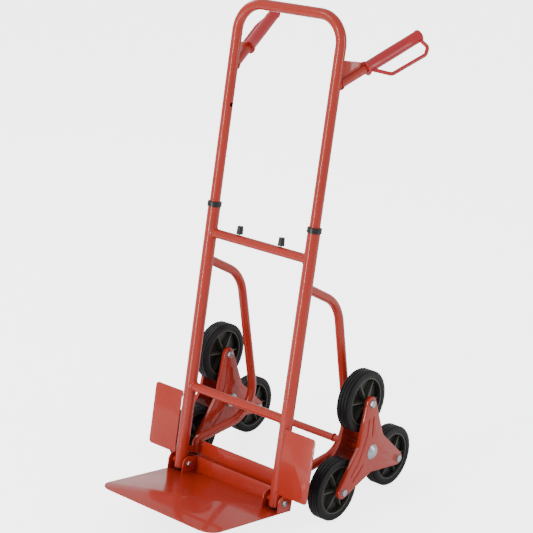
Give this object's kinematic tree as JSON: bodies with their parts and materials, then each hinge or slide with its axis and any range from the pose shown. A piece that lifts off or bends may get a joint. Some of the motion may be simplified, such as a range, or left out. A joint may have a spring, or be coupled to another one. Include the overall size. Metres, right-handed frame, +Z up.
{
  "type": "stair-climbing sack truck",
  "caption": "Tubular steel sack truck with a telescopic handle, angled grips with knuckle guards, a folding toe plate and a three-wheeled star on each side for stairs.",
  "frame": {"origin": "middle of the toe plate's underside, in the plane of the uprights' centre lines", "axes": "+X along the axle, +Y to the back (the side of the grips and wheels), +Z up; the truck leans back by 13 degrees on its four lower wheels"},
  "size_m": [0.5336, 0.7018, 1.1682],
  "materials": {
    "red_paint": "gloss",
    "grip_red": "satin",
    "black_plastic": "satin",
    "rim_grey": "satin",
    "tyre": "matt",
    "zinc": "bright zinc",
    "spring_steel": "plain"
  },
  "bodies": {
    "frame": {"upright_left": "red_paint", "upright_right": "red_paint", "middle_crossbar": "red_paint", "lower_crossbar": "red_paint", "rear_support_left": "red_paint", "rear_support_right": "red_paint", "back_plate": "red_paint", "side_plate_left": "red_paint", "side_plate_right": "red_paint", "collars": "black_plastic", "foot_plugs": "black_plastic", "hinge_sleeves": "red_paint", "latch_guides": "black_plastic", "spring_stops": "spring_steel", "latch_spring_left": "spring_steel", "latch_spring_right": "spring_steel", "axle": "red_paint", "axle_caps": "zinc", "axle_collars": "zinc"},
    "handle": {"handle_tube": "red_paint", "handle_glides": "black_plastic", "grip_arms": "red_paint", "gussets": "red_paint", "grip_left": "grip_red", "grip_right": "grip_red"},
    "latch_left": {"latch_pin_left": "zinc", "latch_knob_left": "black_plastic"},
    "latch_right": {"latch_pin_right": "zinc", "latch_knob_right": "black_plastic"},
    "toe": {"toe_plate": "red_paint", "hinge_bracket_left": "red_paint", "hinge_bracket_right": "red_paint", "hinge_bolts": "zinc", "hinge_nuts": "zinc"},
    "star_left": {"star_left_outer_plate": "red_paint", "star_left_inner_plate": "red_paint", "star_left_hub": "red_paint", "star_left_bolts": "zinc", "star_left_nuts": "zinc", "star_left_spacers": "black_plastic"},
    "wheel_left_top": {"tyre_left_top": "tyre", "rim_left_top": "rim_grey"},
    "wheel_left_front": {"tyre_left_front": "tyre", "rim_left_front": "rim_grey"},
    "wheel_left_rear": {"tyre_left_rear": "tyre", "rim_left_rear": "rim_grey"},
    "star_right": {"star_right_outer_plate": "red_paint", "star_right_inner_plate": "red_paint", "star_right_hub": "red_paint", "star_right_bolts": "zinc", "star_right_nuts": "zinc", "star_right_spacers": "black_plastic"},
    "wheel_right_top": {"tyre_right_top": "tyre", "rim_right_top": "rim_grey"},
    "wheel_right_front": {"tyre_right_front": "tyre", "rim_right_front": "rim_grey"},
    "wheel_right_rear": {"tyre_right_rear": "tyre", "rim_right_rear": "rim_grey"}
  },
  "joints": [
    {"name": "handle_slide", "type": "slide", "parent": "frame", "child": "handle", "axis": [0, -0.225, -0.9744], "range_m": [0, 0.305]},
    {"name": "latch_left_draw", "type": "slide", "parent": "frame", "child": "latch_left", "axis": [-1, 0, 0], "range_m": [0, 0.009], "deforming": ["latch_spring_left"]},
    {"name": "latch_right_draw", "type": "slide", "parent": "frame", "child": "latch_right", "axis": [1, 0, 0], "range_m": [0, 0.009], "deforming": ["latch_spring_right"]},
    {"name": "toe_fold", "type": "hinge", "parent": "frame", "child": "toe", "pos_m": [0, 0.00562, 0.02436], "axis": [-1, 0, 0], "range_deg": [0, 90]},
    {"name": "star_left_turn", "type": "hinge", "parent": "frame", "child": "star_left", "pos_m": [-0.2225, 0.23439, 0.0906], "axis": [1, 0, 0], "continuous": true},
    {"name": "wheel_left_top_turn", "type": "hinge", "parent": "star_left", "child": "wheel_left_top", "pos_m": [-0.2225, 0.23439, 0.2156], "axis": [1, 0, 0], "continuous": true},
    {"name": "wheel_left_front_turn", "type": "hinge", "parent": "star_left", "child": "wheel_left_front", "pos_m": [-0.2225, 0.12613, 0.0281], "axis": [1, 0, 0], "continuous": true},
    {"name": "wheel_left_rear_turn", "type": "hinge", "parent": "star_left", "child": "wheel_left_rear", "pos_m": [-0.2225, 0.34264, 0.0281], "axis": [1, 0, 0], "continuous": true},
    {"name": "star_right_turn", "type": "hinge", "parent": "frame", "child": "star_right", "pos_m": [0.2225, 0.23439, 0.0906], "axis": [1, 0, 0], "continuous": true},
    {"name": "wheel_right_top_turn", "type": "hinge", "parent": "star_right", "child": "wheel_right_top", "pos_m": [0.2225, 0.23439, 0.2156], "axis": [1, 0, 0], "continuous": true},
    {"name": "wheel_right_front_turn", "type": "hinge", "parent": "star_right", "child": "wheel_right_front", "pos_m": [0.2225, 0.12613, 0.0281], "axis": [1, 0, 0], "continuous": true},
    {"name": "wheel_right_rear_turn", "type": "hinge", "parent": "star_right", "child": "wheel_right_rear", "pos_m": [0.2225, 0.34264, 0.0281], "axis": [1, 0, 0], "continuous": true}
  ]
}
